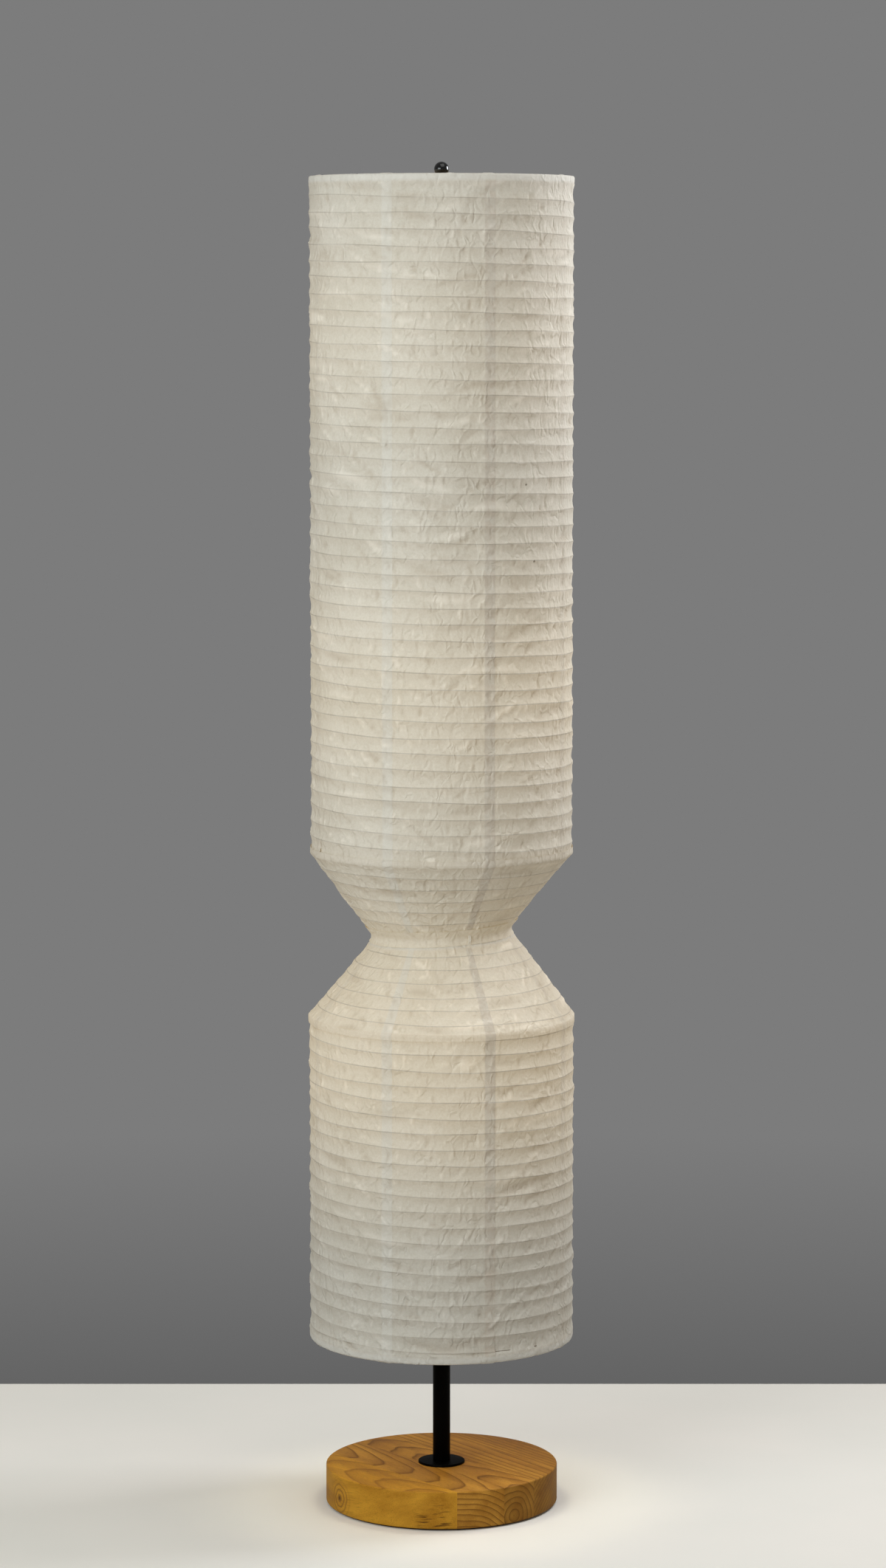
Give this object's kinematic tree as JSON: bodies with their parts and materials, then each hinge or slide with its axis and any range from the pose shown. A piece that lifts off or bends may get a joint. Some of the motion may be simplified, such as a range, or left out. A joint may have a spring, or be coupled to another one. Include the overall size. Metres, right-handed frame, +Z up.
{
  "type": "floor lamp",
  "caption": "Column floor lamp: a ribbed paper shade drawn in at a waist, hung round a slim black pole with screw-in bulbs, on a weighted round wooden base.",
  "frame": {"origin": "centre of the underside of the base pad, on the floor and on the pole's axis", "axes": "+Z up along the pole, -Y towards the viewer of the picture, +X to the viewer's right"},
  "size_m": [0.2886, 0.2886, 1.4629],
  "materials": {
    "oiled_wood": "oiled, edge-glued staves",
    "black_felt": "thin felt pad",
    "ballast_steel": "raw plate",
    "zinc_steel": "zinc plated",
    "black_plastic": "moulded",
    "black_steel": "satin black powder coat",
    "brass": "stamped",
    "solder": "soldered",
    "bulb_cap_metal": "rolled thread",
    "frosted_glass": "frosted inside",
    "paper": "crumpled translucent lantern paper",
    "rib_wire": "thin drawn wire",
    "white_wire": "dipped white",
    "gloss_black": "gloss enamel"
  },
  "bodies": {
    "stand": {"base_stave_1": "oiled_wood", "base_stave_2": "oiled_wood", "base_stave_3": "oiled_wood", "base_stave_4": "oiled_wood", "base_stave_5": "oiled_wood", "base_pad": "black_felt", "base_weight": "ballast_steel", "weight_screws": "zinc_steel", "base_nipple": "zinc_steel", "base_washer": "zinc_steel", "base_nut": "zinc_steel", "pole_joint_nipples": "zinc_steel", "lamp_nipples": "zinc_steel", "lamp_nuts": "zinc_steel", "pole_top_stud": "zinc_steel", "cord_bushing": "black_plastic", "pole_flange": "black_steel", "pole_length_1": "black_steel", "pole_length_2": "black_steel", "pole_length_3": "black_steel", "pole_length_4": "black_steel", "lower_bracket": "black_steel", "middle_bracket": "black_steel", "upper_bracket": "black_steel", "lower_holder_cap": "black_plastic", "lower_holder_body": "black_plastic", "lower_screw_shell": "brass", "middle_holder_cap": "black_plastic", "middle_holder_body": "black_plastic", "middle_screw_shell": "brass", "upper_holder_cap": "black_plastic", "upper_holder_body": "black_plastic", "upper_screw_shell": "brass", "holder_contacts": "brass", "upper_column_paper": "paper", "upper_cone_paper": "paper", "lower_cone_paper": "paper", "lower_column_paper": "paper", "upper_rib_wire": "rib_wire", "lower_rib_wire": "rib_wire", "top_hoop": "white_wire", "upper_waist_hoop": "white_wire", "lower_waist_hoop": "white_wire", "top_spider": "white_wire"},
    "finial": {"finial": "gloss_black"},
    "lower_bulb": {"lower_bulb_tip": "solder", "lower_bulb_cap": "bulb_cap_metal", "lower_bulb_glass": "frosted_glass"},
    "middle_bulb": {"middle_bulb_tip": "solder", "middle_bulb_cap": "bulb_cap_metal", "middle_bulb_glass": "frosted_glass"},
    "upper_bulb": {"upper_bulb_tip": "solder", "upper_bulb_cap": "bulb_cap_metal", "upper_bulb_glass": "frosted_glass"},
    "shade_foot": {"bottom_hoop": "white_wire", "bottom_spider": "white_wire"}
  },
  "joints": [
    {"name": "finial_turn", "type": "hinge", "parent": "stand", "child": "finial", "pos_m": [0, 0, 1.455], "axis": [0, 0, 1], "range_deg": [0, 1080]},
    {"name": "lower_bulb_turn", "type": "hinge", "parent": "stand", "child": "lower_bulb", "pos_m": [-0.045, 0, 0.477], "axis": [0, 0, 1], "range_deg": [0, 900]},
    {"name": "middle_bulb_turn", "type": "hinge", "parent": "stand", "child": "middle_bulb", "pos_m": [0.045, 0, 0.852], "axis": [0, 0, 1], "range_deg": [0, 900]},
    {"name": "upper_bulb_turn", "type": "hinge", "parent": "stand", "child": "upper_bulb", "pos_m": [-0.045, 0, 1.227], "axis": [0, 0, 1], "range_deg": [0, 900]},
    {"name": "shade_lift", "type": "slide", "parent": "stand", "child": "shade_foot", "axis": [0, 0, 1], "range_m": [0, 0.2], "deforming": ["lower_cone_paper", "lower_column_paper", "lower_rib_wire"]}
  ]
}
